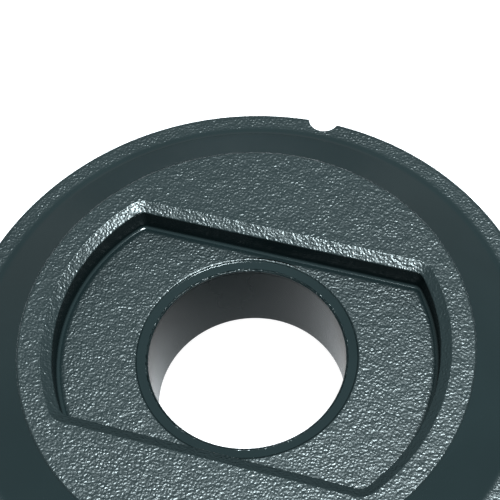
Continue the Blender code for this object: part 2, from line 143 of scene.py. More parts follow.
@dataclass(frozen=True)
class SparkErodedABS:
    """Injection-moulded ABS, black with a little teal, from a partly spark-eroded mould.

    The mould's flat faces were eroded, so the plastic there carries a fine pebble grain whose
    flanks catch the lamp one by one as white glints. The slope, the countersink and the foot of
    the pocket's wall were polished, and mirror the room softly. The bore and the pocket's
    upright wall were left as machined and are duller. The attribute "grain" is how much grain a
    face has, and "matt" how dull it is. The pebbles are drawn coarser than such a grain is, so
    that they show.
    """

    name: str = "moulded_abs_spark_eroded"
    base: str = "070e0f"
    dust: str = "0e1617"
    tint: str = "ecf8f8"
    pebble_size: float = 0.36 * MM
    swell_size: float = 1.3 * MM
    relief: float = 0.125 * MM
    polish_ripple: float = 0.012 * MM
    ripple_size: float = 5.0 * MM
    polished_roughness: float = 0.14
    grain_roughness: float = 0.36
    bore_roughness: float = 0.27
    bore_shine: float = 0.03
    flow_size: float = 16.0 * MM
    index: float = 1.54

    def material(self) -> bpy.types.Material:
        """Build the node material.

        Returns:
            The material.
        """
        material, tree, shader, place = blank_material(self.name)
        grain = add_node(tree, "Attribute", {"attribute_name": "grain"}, {}).outputs["Fac"]
        matt = add_node(tree, "Attribute", {"attribute_name": "matt"}, {}).outputs["Fac"]

        pebbles = add_node(tree, "TexNoise", {}, {
            "Vector": place, "Scale": 1.0 / self.pebble_size, "Detail": 1.0, "Roughness": 0.35})
        swell = add_node(tree, "TexNoise", {}, {
            "Vector": place, "Scale": 1.0 / self.swell_size, "Detail": 0.0})
        patchy = add_node(tree, "MapRange", {}, {
            "Value": swell.outputs["Fac"], "From Min": 0.3, "From Max": 0.7,
            "To Min": 0.8, "To Max": 1.2})
        amount = add_node(tree, "Math", {"operation": "MULTIPLY"}, {
            0: patchy.outputs["Result"], 1: grain})
        height = add_node(tree, "Math", {"operation": "MULTIPLY"}, {
            0: pebbles.outputs["Fac"], 1: amount.outputs[0]})
        grained = add_node(tree, "Bump", {}, {
            "Distance": self.relief, "Height": height.outputs[0]})
        ripple = add_node(tree, "TexNoise", {}, {
            "Vector": place, "Scale": 1.0 / self.ripple_size, "Detail": 2.0, "Roughness": 0.4})
        bump = add_node(tree, "Bump", {}, {
            "Distance": self.polish_ripple, "Height": ripple.outputs["Fac"],
            "Normal": grained.outputs["Normal"]})

        flow = add_node(tree, "TexNoise", {}, {
            "Vector": place, "Scale": 1.0 / self.flow_size, "Detail": 3.0, "Roughness": 0.5,
            "Distortion": 0.6})
        colour = add_node(tree, "Mix", {"data_type": "RGBA"}, {
            "Factor": flow.outputs["Fac"], 6: srgb(self.base), 7: srgb(self.dust)})
        by_grain = add_node(tree, "MapRange", {}, {
            "Value": grain, "To Min": self.polished_roughness, "To Max": self.grain_roughness})
        by_matt = add_node(tree, "Mix", {}, {
            "Factor": matt, "A": by_grain.outputs["Result"], "B": self.bore_roughness})
        shine = add_node(tree, "MapRange", {}, {
            "Value": matt, "To Min": 0.5, "To Max": self.bore_shine})
        feed(tree, shader, {
            "Base Color": colour.outputs[2], "Roughness": by_matt.outputs["Result"],
            "Specular IOR Level": shine.outputs["Result"], "Normal": bump.outputs["Normal"],
            "IOR": self.index, "Specular Tint": srgb(self.tint)})
        return material


@dataclass(frozen=True)
class SatinNylon:
    """Glass-filled nylon from a vapour-blasted mould: black, even satin, with faint flow marks."""

    name: str = "moulded_nylon_satin"
    base: str = "15181a"
    flow_mark: str = "202426"
    grit: float = 0.25 * MM
    flow: float = 9.0 * MM
    relief: float = 0.012 * MM
    roughness: float = 0.42
    roughness_change: float = 0.06
    index: float = 1.53

    def material(self) -> bpy.types.Material:
        """Build the node material.

        Returns:
            The material.
        """
        material, tree, shader, place = blank_material(self.name)
        grit = add_node(tree, "TexNoise", {}, {
            "Vector": place, "Scale": 1.0 / self.grit, "Detail": 2.0, "Roughness": 0.6})
        flow = add_node(tree, "TexNoise", {}, {
            "Vector": place, "Scale": 1.0 / self.flow, "Detail": 3.0, "Distortion": 0.8})
        bump = add_node(tree, "Bump", {}, {
            "Distance": self.relief, "Height": grit.outputs["Fac"]})
        colour = add_node(tree, "Mix", {"data_type": "RGBA"}, {
            "Factor": flow.outputs["Fac"], 6: srgb(self.base), 7: srgb(self.flow_mark)})
        rough = add_node(tree, "MapRange", {}, {
            "Value": flow.outputs["Fac"], "From Min": 0.3, "From Max": 0.7,
            "To Min": self.roughness - self.roughness_change,
            "To Max": self.roughness + self.roughness_change})
        feed(tree, shader, {
            "Base Color": colour.outputs[2], "Roughness": rough.outputs["Result"],
            "Normal": bump.outputs["Normal"], "IOR": self.index})
        return material


@dataclass(frozen=True)
class DieCutFoam:
    """Closed-cell EPDM foam, die-cut: matt charcoal, with open cells where the knife went through, whose
    hollows are painted darker as shade.
    """

    name: str = "die_cut_epdm_foam"
    skin: str = "333335"
    # painted shade: the open cells' hollows are coloured this darker charcoal
    painted_pore_shade: str = "101011"
    cell: float = 0.45 * MM
    relief: float = 0.12 * MM
    roughness: float = 0.92

    def material(self) -> bpy.types.Material:
        """Build the node material.

        Returns:
            The material.
        """
        material, tree, shader, place = blank_material(self.name)
        cells = add_node(tree, "TexVoronoi", {"feature": "SMOOTH_F1"}, {
            "Vector": place, "Scale": 1.0 / self.cell, "Smoothness": 0.4})
        wall = add_node(tree, "MapRange", {"interpolation_type": "SMOOTHSTEP"}, {
            "Value": cells.outputs["Distance"], "From Min": 0.12, "From Max": 0.5})
        bump = add_node(tree, "Bump", {}, {
            "Distance": self.relief, "Height": wall.outputs["Result"]})
        # The bump's hollows take the darker colour: painted shade in the open cells.
        colour = add_node(tree, "Mix", {"data_type": "RGBA"}, {
            "Factor": wall.outputs["Result"], 6: srgb(self.painted_pore_shade), 7: srgb(self.skin)})
        feed(tree, shader, {
            "Base Color": colour.outputs[2], "Roughness": self.roughness,
            "Normal": bump.outputs["Normal"]})
        return material


@dataclass(frozen=True)
class MouldedRubber:
    """Compression-moulded nitrile rubber: black and matt, with a dusty bloom in patches."""

    name: str = "moulded_nitrile_rubber"
    base: str = "171717"
    bloom: str = "31312f"
    patch: float = 6.0 * MM
    grit: float = 0.25 * MM
    relief: float = 0.02 * MM
    roughness: float = 0.68
    bloom_roughness: float = 0.85

    def material(self) -> bpy.types.Material:
        """Build the node material.

        Returns:
            The material.
        """
        material, tree, shader, place = blank_material(self.name)
        patch = add_node(tree, "TexNoise", {}, {
            "Vector": place, "Scale": 1.0 / self.patch, "Detail": 4.0, "Roughness": 0.6})
        grit = add_node(tree, "TexNoise", {}, {
            "Vector": place, "Scale": 1.0 / self.grit, "Detail": 1.0})
        bloom = add_node(tree, "MapRange", {"interpolation_type": "SMOOTHSTEP"}, {
            "Value": patch.outputs["Fac"], "From Min": 0.45, "From Max": 0.75})
        bump = add_node(tree, "Bump", {}, {
            "Distance": self.relief, "Height": grit.outputs["Fac"]})
        colour = add_node(tree, "Mix", {"data_type": "RGBA"}, {
            "Factor": bloom.outputs["Result"], 6: srgb(self.base), 7: srgb(self.bloom)})
        rough = add_node(tree, "MapRange", {}, {
            "Value": bloom.outputs["Result"], "To Min": self.roughness,
            "To Max": self.bloom_roughness})
        feed(tree, shader, {
            "Base Color": colour.outputs[2], "Roughness": rough.outputs["Result"],
            "Normal": bump.outputs["Normal"]})
        return material


@dataclass(frozen=True)
class BrightSteel:
    """Steel with a bright surface, cloudy in patches and finely scratched along one direction."""

    name: str
    light: str
    dark: str
    roughness: float
    cloud: float
    scratch: float
    relief: float
    draw: float = 12.0
    roughness_change: float = 0.14

    def material(self) -> bpy.types.Material:
        """Build the node material.

        Returns:
            The material.
        """
        material, tree, shader, place = blank_material(self.name)
        cloud = add_node(tree, "TexNoise", {}, {
            "Vector": place, "Scale": 1.0 / self.cloud, "Detail": 3.0, "Roughness": 0.55})
        along = add_node(tree, "Mapping", {}, {"Vector": place, "Scale": (1.0, 1.0, self.draw)})
        lines = add_node(tree, "TexNoise", {}, {
            "Vector": along.outputs[0], "Scale": 1.0 / self.scratch, "Detail": 2.0})
        bump = add_node(tree, "Bump", {}, {
            "Distance": self.relief, "Height": lines.outputs["Fac"]})
        colour = add_node(tree, "Mix", {"data_type": "RGBA"}, {
            "Factor": cloud.outputs["Fac"], 6: srgb(self.light), 7: srgb(self.dark)})
        rough = add_node(tree, "MapRange", {}, {
            "Value": cloud.outputs["Fac"], "From Min": 0.3, "From Max": 0.7,
            "To Min": self.roughness, "To Max": self.roughness + self.roughness_change})
        feed(tree, shader, {
            "Base Color": colour.outputs[2], "Roughness": rough.outputs["Result"],
            "Normal": bump.outputs["Normal"], "Metallic": 1.0})
        return material


class Slot(Enum):
    """The record's material slots."""

    GRAINED = "grained_plastic"
    SMOOTH = "smooth_plastic"
    FOAM = "gasket_foam"
    RUBBER = "pad_rubber"
    ZINC = "zinc_plated_steel"
    SPRING = "spring_steel"


FINISHES: dict[Slot, Finish] = {
    Slot.GRAINED: SparkErodedABS(),
    Slot.SMOOTH: SatinNylon(),
    Slot.FOAM: DieCutFoam(),
    Slot.RUBBER: MouldedRubber(),
    # Blanked steel, barrel-plated with zinc: cold, slightly blue, cloudy from the bath.
    Slot.ZINC: BrightSteel(
        "zinc_plated_steel", light="c9ccd0", dark="a9aeb5", roughness=0.26, cloud=5.0 * MM,
        scratch=0.4 * MM, relief=0.004 * MM),
    # Drawn and oil-tempered wire: darker, with fine lines from the die.
    Slot.SPRING: BrightSteel(
        "drawn_spring_steel", light="a3a4a6", dark="77797c", roughness=0.22, cloud=3.0 * MM,
        scratch=0.15 * MM, relief=0.003 * MM),
}


class Workshop:
    """Makes pieces from surfaces, and gives each its finish and its CAD body."""

    def __init__(self) -> None:
        """Make every material once."""
        self.materials = {slot: finish.material() for slot, finish in FINISHES.items()}

    def piece(self, name: str, surface: "Surface", slot: Slot, body: str,
              replaced: Sequence[str]) -> bpy.types.Object:
        """Put a finished piece into the scene.

        Args:
            name: the piece's name.
            surface: its skin, in place.
            slot: its finish.
            body: the CAD body it moves with.
            replaced: the CAD nodes it stands for.

        Returns:
            The new object.
        """
        mesh = surface.to_mesh(name)
        thing = bpy.data.objects.new(name, mesh)
        bpy.context.scene.collection.objects.link(thing)
        mesh.materials.append(self.materials[slot])
        mesh.shade_smooth()
        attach(thing, body)
        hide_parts(*replaced)
        LOG.info("%s: %d faces, %s, rides on %s", name, len(mesh.polygons), slot.value, body)
        return thing


# --- Surfaces ---


@dataclass
class Surface:
    """A closed skin: points, four- and three-sided faces, and a value per point for each mark."""

    points: np.ndarray
    quads: np.ndarray
    triangles: np.ndarray
    marks: dict[str, np.ndarray] = field(default_factory=dict)

    @classmethod
    def tube(cls, grid: np.ndarray, marks: Optional[dict[str, np.ndarray]] = None) -> "Surface":
        """A ring-shaped skin: the last row joins the first, and so does the last column.

        Rows run up the outer side and down the inner one, columns run anticlockwise, and face
        (i, j), (i, j + 1), (i + 1, j + 1), (i + 1, j) points outwards.

        Args:
            grid: rows x columns x 3.
            marks: values of rows x columns or rows x 1.

        Returns:
            The surface.
        """
        rows, columns = grid.shape[:2]
        index = np.arange(rows * columns).reshape(rows, columns)
        above = np.roll(index, -1, axis=0)
        quads = np.stack([index, np.roll(index, -1, axis=1), np.roll(above, -1, axis=1), above], axis=-1)
        spread = {name: np.broadcast_to(value, (rows, columns)).ravel()
                  for name, value in (marks or {}).items()}
        return cls(grid.reshape(-1, 3), quads.reshape(-1, 4), np.empty((0, 3), int), spread)

    @classmethod
    def rod(cls, grid: np.ndarray) -> "Surface":
        """A rod-shaped skin: columns join up, and a fan round a middle point closes each end.

        Columns run anticlockwise as seen from beyond the last row.

        Args:
            grid: rows x columns x 3, from the first end to the last.

        Returns:
            The surface.
        """
        rows, columns = grid.shape[:2]
        index = np.arange(rows * columns).reshape(rows, columns)
        after = np.roll(index, -1, axis=1)
        quads = np.stack([index[:-1], after[:-1], after[1:], index[1:]], axis=-1).reshape(-1, 4)
        first, last = rows * columns, rows * columns + 1
        start = np.stack([np.full(columns, first), after[0], index[0]], axis=-1)
        end = np.stack([np.full(columns, last), index[-1], after[-1]], axis=-1)
        points = np.concatenate([grid.reshape(-1, 3), grid[0].mean(0)[None], grid[-1].mean(0)[None]])
        return cls(points, quads, np.concatenate([start, end]))

    @classmethod
    def joined(cls, surfaces: Sequence["Surface"]) -> "Surface":
        """Several separate skins as one, without their marks.

        Args:
            surfaces: the skins.

        Returns:
            One surface.
        """
        starts = np.cumsum([0] + [len(s.points) for s in surfaces[:-1]])
        return cls(np.concatenate([s.points for s in surfaces]),
                   np.concatenate([s.quads + n for s, n in zip(surfaces, starts)]),
                   np.concatenate([s.triangles + n for s, n in zip(surfaces, starts)]))

    def placed(self, place: Matrix) -> "Surface":
        """The same skin, turned and moved by a matrix."""
        points = self.points @ np.array(place.to_3x3()).T + np.array(place.translation)
        return Surface(points, self.quads, self.triangles, self.marks)

    def to_mesh(self, name: str) -> bpy.types.Mesh:
        """Write the skin into a mesh.

        Args:
            name: the mesh's name.

        Returns:
            The mesh, with one point attribute per mark.
        """
        mesh = bpy.data.meshes.new(name)
        corners = np.concatenate([self.quads.ravel(), self.triangles.ravel()])
        quad_starts = np.arange(len(self.quads)) * 4
        triangle_starts = self.quads.size + np.arange(len(self.triangles)) * 3
        starts = np.concatenate([quad_starts, triangle_starts])
        mesh.vertices.add(len(self.points))
        mesh.vertices.foreach_set("co", self.points.astype(np.float32).ravel())
        mesh.loops.add(len(corners))
        mesh.loops.foreach_set("vertex_index", corners.astype(np.int32))
        mesh.polygons.add(len(starts))
        mesh.polygons.foreach_set("loop_start", starts.astype(np.int32))
        mesh.update(calc_edges=True)
        for mark, values in self.marks.items():
            layer = mesh.attributes.new(mark, "FLOAT", "POINT")
            layer.data.foreach_set("value", values.astype(np.float32))
        mesh.validate()
        return mesh


def angle_grid(count: int, windows: Sequence[tuple[float, float, int]] = ()) -> np.ndarray:
    """Angles round a full turn: an even share, and more of them inside some windows.

    Args:
        count: how many even angles.
        windows: middle and half width of each window, in radians, and how many angles it adds.

    Returns:
        Rising angles in [0, 2 pi), with near-doubles dropped.
    """
    sets = [np.arange(count) * TAU / count]
    for centre, half_width, extra in windows:
        sets.append((centre + np.linspace(-half_width, half_width, extra)) % TAU)
    angles = np.unique(np.round(np.concatenate(sets), 6))
    return angles[np.diff(angles, append=angles[0] + TAU) > 0.0003]


def rounded_path(corners: Sequence[PathCorner], steps: int = 6) -> np.ndarray:
    """An open outline whose corners are replaced by arcs that touch both of their sides.

    An arc's ends lie radius x tan(half the turn) from its corner, and it is read at even steps of
    its angle. A guard point beyond each end keeps the straight sides flat under smooth shading. A
    corner of radius 0 is kept as a point.

    Args:
        corners: distance from the axis, height and corner radius of each corner, ends included.
        steps: how many steps each arc has.

    Returns:
        Array of n x 2: distance from the axis and height.
    """
    spots = np.array([corner[:2] for corner in corners])
    points = [spots[:1]]
    for here, before, after, (_, _, radius) in zip(spots[1:-1], spots[:-2], spots[2:], corners[1:-1]):
        if radius == 0.0:
            points.append(here[None])
            continue
        back, ahead = before - here, after - here
        room = min(np.linalg.norm(back), np.linalg.norm(ahead))
        back /= np.linalg.norm(back)
        ahead /= np.linalg.norm(ahead)
        turn = math.pi - math.acos(float(np.clip(back @ ahead, -1.0, 1.0)))
        reach = radius * math.tan(turn / 2.0)
        middle = (back + ahead) / np.linalg.norm(back + ahead)
        centre = here + middle * radius / math.cos(turn / 2.0)
        share = np.linspace(0.0, 1.0, steps + 1)[:, None]
        start, end = here + back * reach - centre, here + ahead * reach - centre
        arc = centre + (np.sin((1.0 - share) * turn) * start + np.sin(share * turn) * end) / math.sin(turn)
        guard = min(reach * 0.35 + 0.02 * MM, (room / 2.0 - reach) * 0.9)
        if guard > 0.002 * MM:
            points += [(here + back * (reach + guard))[None], arc, (here + ahead * (reach + guard))[None]]
        else:
            points.append(arc)
    points.append(spots[-1:])
    return np.concatenate(points)


def ring_points(radius: np.ndarray, height: np.ndarray, angles: np.ndarray) -> np.ndarray:
    """Points (r cos a, r sin a, z) of rings about the axis.

    Args:
        radius: rows x 1, or rows x angles.
        height: rows x 1, or rows x angles.
        angles: the directions.

    Returns:
        Array of rows x angles x 3.
    """
    turn = angles[None, :]
    shape = np.broadcast_shapes(radius.shape, height.shape, turn.shape)
    return np.stack([np.broadcast_to(radius * np.cos(turn), shape),
                     np.broadcast_to(radius * np.sin(turn), shape),
                     np.broadcast_to(height, shape)], axis=-1)


def turned_ring(path: np.ndarray, angles: np.ndarray) -> Surface:
    """A ring whose section is a closed path of distances and heights, read upwards outside."""
    return Surface.tube(ring_points(path[:, :1], path[:, 1:], angles))


def across(angles: np.ndarray, radius: np.ndarray, centre: float) -> np.ndarray:
    """Distance sideways from the half-plane at an angle: |r sin(a - centre)|.

    Args:
        angles: the directions.
        radius: distances from the axis, rows x 1 or rows x angles.
        centre: the half-plane's angle.

    Returns:
        The distances, and FAR on the other side of the axis.
    """
    turn = (angles[None, :] - centre + math.pi) % TAU - math.pi
    return np.where(np.abs(turn) < math.pi / 2.0, np.abs(radius * np.sin(turn)), FAR)


def spaced(count: int, shift: float = 0.0) -> list[float]:
    """Even directions round the axis, moved on by a share of their spacing."""
    return [TAU * (i + shift) / count for i in range(count)]


def flank(distance: np.ndarray, half_width: float, edge: float) -> np.ndarray:
    """A smooth step, s s (3 - 2 s), where s falls from 1 to 0 over the edge.

    Args:
        distance: distances from the middle.
        half_width: where the step has reached 0.
        edge: how wide the step is.

    Returns:
        1 nearer than half_width - edge, and 0 farther than half_width.
    """
    share = np.clip((half_width - distance) / edge, 0.0, 1.0)
    return share * share * (3.0 - 2.0 * share)


def thread_wave(angles: np.ndarray, height: np.ndarray, pitch: float, phase: float) -> np.ndarray:
    """A right-hand thread's height, from 0 at its root to 1 at its crest.

    The helix climbs one pitch a turn, so place = z / pitch - angle / (2 pi) + phase. Its distance
    from the nearest crest, in half pitches, gives a trapezoid with a smooth step for each flank.

    Args:
        angles: the directions.
        height: heights, rows x 1.
        pitch: the thread's pitch.
        phase: where the thread starts, in pitches.

    Returns:
        Array of rows x angles.
    """
    place = height / pitch - angles[None, :] / TAU + phase
    away = np.abs(2.0 * (place % 1.0) - 1.0)
    return flank(away, THREAD_FOOT, THREAD_FLANK)


# --- Cover ---


@dataclass
class DoubleD:
    """The pocket's outline: two straight flats and two arcs about the axis, with small corner arcs."""

    half_flats: float = 18.1 * MM
    arc_radius: float = 28.88 * MM
    corner_radius: float = 1.6 * MM
    least_corner: float = 0.05 * MM

    def corner_centre(self) -> tuple[float, float]:
        """The first corner arc's centre: one corner radius inside both the flat and the arc."""
        y = self.half_flats - self.corner_radius
        return math.sqrt((self.arc_radius - self.corner_radius) ** 2 - y * y), y

    def corner_angles(self) -> list[float]:
        """The directions of the four corners from the axis."""
        x, y = self.corner_centre()
        first = math.atan2(y + self.corner_radius / 2.0, x)
        return [first, math.pi - first, math.pi + first, TAU - first]

    def radius(self, angles: np.ndarray, offset: np.ndarray) -> np.ndarray:
        """Distance from the axis to the outline moved outwards by an offset, in each direction.

        An arc gives R, a flat gives h / sin a, and a corner gives the far crossing of the ray with
        the corner's circle, c.u + sqrt(rho^2 - |c|^2 + (c.u)^2).

        Args:
            angles: directions, one row.
            offset: distances outwards, one column.

        Returns:
            Distances from the axis, one row per offset.
        """
        sine, cosine = np.abs(np.sin(angles)), np.abs(np.cos(angles))
        turn = np.arctan2(sine, cosine)
        x, y = self.corner_centre()
        corner = np.maximum(self.corner_radius + offset, self.least_corner)
        along = x * cosine + y * sine
        on_corner = along + np.sqrt(np.maximum(corner ** 2 - x * x - y * y + along ** 2, 0.0))
        on_flat = (self.half_flats + offset) / np.maximum(sine, 1e-6)
        result = np.where(turn <= math.atan2(y, x), self.arc_radius + offset, on_corner)
        return np.where(turn >= np.arctan2(self.half_flats + offset, x), on_flat, result)


@dataclass
class Stations:
    """The rings that make up the cover's skin, in order.

    Each ring is a circle, a double-D, or a mix: weight 0 is the circle of radius `circle`, and
    weight 1 the double-D moved outwards by `offset`.
    """

    rows: list[tuple[float, float, float, float, float, float]] = field(default_factory=list)

    def circles(self, path: np.ndarray, grain: float, matt: float = 0.0) -> None:
        """Add a circle for each point of a path of radii and heights."""
        self.rows += [(0.0, x, 0.0, z, grain, matt) for x, z in path]

    def outlines(self, path: np.ndarray, grain: float, matt: float = 0.0) -> None:
        """Add a double-D for each point of a path of offsets and heights."""
        self.rows += [(1.0, 0.0, x, z, grain, matt) for x, z in path]

    def mixes(self, circle: float, offset: float, height: float, weights: Sequence[float]) -> None:
        """Add flat grained rings between a circle and a double-D."""
        self.rows += [(weight, circle, offset, height, 1.0, 0.0) for weight in weights]

    def columns(self) -> list[np.ndarray]:
        """Weight, circle, offset, height, grain and matt, each as a column."""
        return [column[:, None] for column in np.array(self.rows).T]


@dataclass
class Cover:
    """The snap-in cover: rim with a pry notch, slope, flat top, double-D pocket, bore tube and skirt."""

    pocket: DoubleD = field(default_factory=DoubleD)
    rim_thickness: float = 2.1 * MM
    rim_width: float = 3.6 * MM
    rim_edge: float = 0.8 * MM
    rim_foot_edge: float = 0.3 * MM
    rise: float = 4.4 * MM
    slope: float = math.radians(30.0)
    slope_fillet: float = 4.0 * MM
    crest: float = 0.2 * MM
    fade_start: float = 0.9 * MM            # outside the slope's foot, where the rim's grain fades
    fade_width: float = 1.2 * MM
    crest_polish: float = 0.3 * MM          # below the crest, the last ring that is fully polished
    crest_inset: float = 0.7 * MM           # crest to the flat top's first even ring
    wall: float = 2.0 * MM
    notch_radius: float = 2.5 * MM
    notch_overhang: float = 0.45 * MM
    notch_edge: float = 0.25 * MM
    notch_reach: float = 0.5                # radians, beyond which the rim is whole
    pocket_depth: float = 5.05 * MM
    bevel_width: float = 1.6 * MM
    bevel_depth: float = 0.9 * MM
    bevel_edge: float = 0.22 * MM
    bevel_grain: float = 0.9
    pocket_fillet: float = 0.45 * MM
    bed_inset: float = 1.1 * MM             # pocket's wall to the bed's first grained ring
    bed_margin: float = 0.05 * MM           # bed's last even ring to the countersink
    bore: float = 15.0 * MM
    tube_wall: float = 2.0 * MM
    tube_edge: float = 0.3 * MM
    sink_width: float = 1.95 * MM
    sink_depth: float = 0.42 * MM
    sink_edge: float = 0.28 * MM
    sink_step: float = 0.22 * MM
    sink_step_width: float = 0.32 * MM
    lip: float = 0.22 * MM                  # width of the bore's grained edge
    lip_matt: float = 0.8
    inside_matt: float = 0.6                # how dull the hidden underside is
    skirt_outer: float = 36.0 * MM
    skirt_wall: float = 3.2 * MM
    skirt_foot: float = 26.8 * MM
    groove_height: float = 4.0 * MM
    groove_half: float = 1.1 * MM
    groove_bed: float = 34.0 * MM
    groove_edge: float = 0.15 * MM
    skirt_edge: float = 0.3 * MM
    rib_count: int = 6
    rib_width: float = 1.6 * MM
    rib_depth: float = 6.5 * MM
    rib_squareness: float = 0.2

    def __post_init__(self) -> None:
        """Read the cover's own box from the frame, and work the other levels out."""
        low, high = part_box("cover")
        self.radius = high.x
        self.top = high.z
        self.tube_foot = low.z
        self.rim_top = self.top - self.rise
        self.rim_foot = self.rim_top - self.rim_thickness
        self.bed = self.top - self.pocket_depth
        self.under = self.top - self.wall
        self.slope_foot = self.radius - self.rim_width
        self.crest_radius = self.slope_foot - self.rise / math.tan(self.slope)
        self.land = self.crest_radius - self.crest_inset

    def outside(self, rings: Stations) -> None:
        """Add the rim, the slope and the flat top's edge.

        The grain fades out as the slope begins, and comes back at the crest.

        Args:
            rings: the rings so far.
        """
        meeting = self.slope_foot + 1.5 * MM
        rim = rounded_path([
            (self.under_slope(self.rim_foot), self.rim_foot, 0.0),
            (self.radius, self.rim_foot, self.rim_foot_edge),
            (self.radius, self.rim_top, self.rim_edge), (meeting, self.rim_top, 0.0)])
        below_crest = self.crest_radius + self.crest_polish
        slope = rounded_path([
            (meeting - 0.05 * MM, self.rim_top, 0.0), (self.slope_foot, self.rim_top, self.slope_fillet),
            (below_crest, self.top - self.crest_polish * math.tan(self.slope), 0.0),
            (self.crest_radius, self.top, self.crest), (self.land, self.top, 0.0)], steps=10)
        inwards = self.slope_foot + self.fade_start - slope[:, 0]
        grain = 1.0 - np.clip(inwards / self.fade_width, 0.0, 1.0)
        grain = np.where(slope[:, 0] < self.crest_radius + self.crest_polish / 3.0, 1.0, grain)
        rings.circles(rim, 1.0)
        for point, amount in zip(slope, grain):
            rings.circles(point[None], float(amount))

    def inside(self, rings: Stations) -> None:
        """Add the grained bevel, the matt upright wall, its polished foot, and the grained bed.

        Args:
            rings: the rings so far.
        """
        bevel_top = self.bevel_width + 0.3 * MM
        rings.mixes(self.land, bevel_top, self.top, (0.25, 0.5, 0.75))
        bevel = rounded_path([
            (bevel_top, self.top, 0.0), (self.bevel_width, self.top, self.bevel_edge),
            (0.0, self.top - self.bevel_depth, self.bevel_edge), (0.0, self.top - 2.0 * MM, 0.0)])
        wall = rounded_path([
            (0.0, self.top - 2.2 * MM, 0.0), (0.0, self.bed, self.pocket_fillet),
            (-self.bed_inset, self.bed, 0.0)], steps=10)
        rings.outlines(bevel[:-3], self.bevel_grain)
        upright = wall[:, 1] > self.bed + 0.8 * self.pocket_fillet
        rings.outlines(bevel[-3:], 0.0, 1.0)
        rings.outlines(wall[upright], 0.0, 1.0)
        rings.outlines(wall[~upright][:-1], 0.0)
        rings.outlines(wall[-1:], 1.0)
        mouth = self.bore + self.sink_width
        rings.mixes(mouth + self.bed_margin, -self.bed_inset, self.bed, (0.75, 0.5, 0.25))

    def tube(self, rings: Stations) -> None:
        """Add the countersink, which is a low step and an almost level ledge, and the bore tube.

        The grain takes in both edges of the ledge, and the bore is matt.

        Args:
            rings: the rings so far.
        """
        mouth = self.bore + self.sink_width
        lip, tube = self.bore + self.lip, self.bore + self.tube_wall
        step, ledge_end = self.bed - self.sink_step, self.bed - self.sink_depth
        fall = (self.sink_depth - self.sink_step) / (self.sink_width - self.sink_step_width)
        path = rounded_path([
            (mouth + 0.25 * MM, self.bed, 0.0), (mouth, self.bed, self.sink_edge),
            (mouth - self.sink_step_width, step, 0.1 * MM),
            (mouth - 0.8 * MM, step - 0.5 * fall * MM, 0.0),
            (lip + self.lip, ledge_end + 2.0 * self.lip * fall, 0.0),
            (lip, ledge_end + self.lip * fall, 0.0), (self.bore, ledge_end, self.sink_edge),
            (self.bore, self.bed - 1.3 * MM, 0.0), (self.bore, self.tube_foot, 0.25 * MM),
            (tube, self.tube_foot, self.tube_edge), (tube, self.bed - self.wall, 0.5 * MM),
            (tube + 0.8 * MM, self.bed - self.wall, 0.0)])
        bore_top = ledge_end - 0.2 * MM
        for point in path:
            reach, height = point
            outer_lip = height > self.bed - 0.5 * self.sink_step
            inner_lip = reach < lip + 0.01 * MM and height > bore_top
            matt = 1.0 if height < bore_top else self.lip_matt if inner_lip else 0.0
            rings.circles(point[None], 1.0 if outer_lip or inner_lip else 0.0, matt)

    def underside(self, rings: Stations) -> None:
        """Add the pocket's outer wall, the top's underside, and the skirt with its ring groove.

        Args:
            rings: the rings so far.
        """
        box = rounded_path([
            (1.4 * MM, self.bed - self.wall, 0.0), (self.wall, self.bed - self.wall, 0.3 * MM),
            (self.wall, self.under, 0.4 * MM), (self.wall + 0.6 * MM, self.under, 0.0)])
        rings.outlines(box, 0.0, self.inside_matt)
        skirt_inner = self.skirt_outer - self.skirt_wall
        groove = self.skirt_foot + self.groove_height
        groove_foot, groove_top = groove - self.groove_half, groove + self.groove_half
        skirt_top = self.under - (self.skirt_outer - self.under_slope(self.under)) * math.tan(self.slope)
        skirt = rounded_path([
            (skirt_inner - 0.5 * MM, self.under, 0.0), (skirt_inner, self.under, self.skirt_edge),
            (skirt_inner, self.skirt_foot, self.skirt_edge), (self.skirt_outer, self.skirt_foot, 0.5 * MM),
            (self.skirt_outer, groove_foot, self.groove_edge),
            (self.groove_bed, groove_foot, self.groove_edge),
            (self.groove_bed, groove_top, self.groove_edge),
            (self.skirt_outer, groove_top, self.groove_edge),
            (self.skirt_outer, skirt_top, 0.4 * MM),
            (self.under_slope(self.rim_foot), self.rim_foot, 0.0)], steps=4)
        rings.circles(skirt[:-1], 0.0, self.inside_matt)

    def under_slope(self, height: float) -> float:
        """Distance from the axis to the slope's underside, one wall behind its face."""
        start = self.crest_radius - self.wall * math.tan(self.slope / 2.0)
        return start + (self.under - height) / math.tan(self.slope)

    def notched(self, angles: np.ndarray, radius: np.ndarray, height: np.ndarray) -> np.ndarray:
        """Circle radii with the pry notch cut out of the rim.

        The notch is a circle of radius rho about a point d outside the axis. Its near wall lies at
        d cos t - sqrt(rho^2 - d^2 sin^2 t) in the direction t from the notch, and a little further
        in at the rim's upper face, which breaks the edge.

        Args:
            angles: directions, one row.
            radius: radii before the cut, one column.
            height: heights, one column.

        Returns:
            Radii after the cut.
        """
        reach = self.radius + self.notch_overhang
        turn = (angles - math.pi / 2.0 + math.pi) % TAU - math.pi
        under_root = self.notch_radius ** 2 - (reach * np.sin(turn)) ** 2
        near = reach * np.cos(turn) - np.sqrt(np.maximum(under_root, 0.0))
        wall = np.where((under_root > 0.0) & (np.abs(turn) < self.notch_reach), near, FAR)
        broken = np.clip((height - self.rim_top + self.notch_edge) / self.notch_edge, 0.0, 1.0)
        return np.minimum(radius, wall - self.notch_edge * broken ** 2)

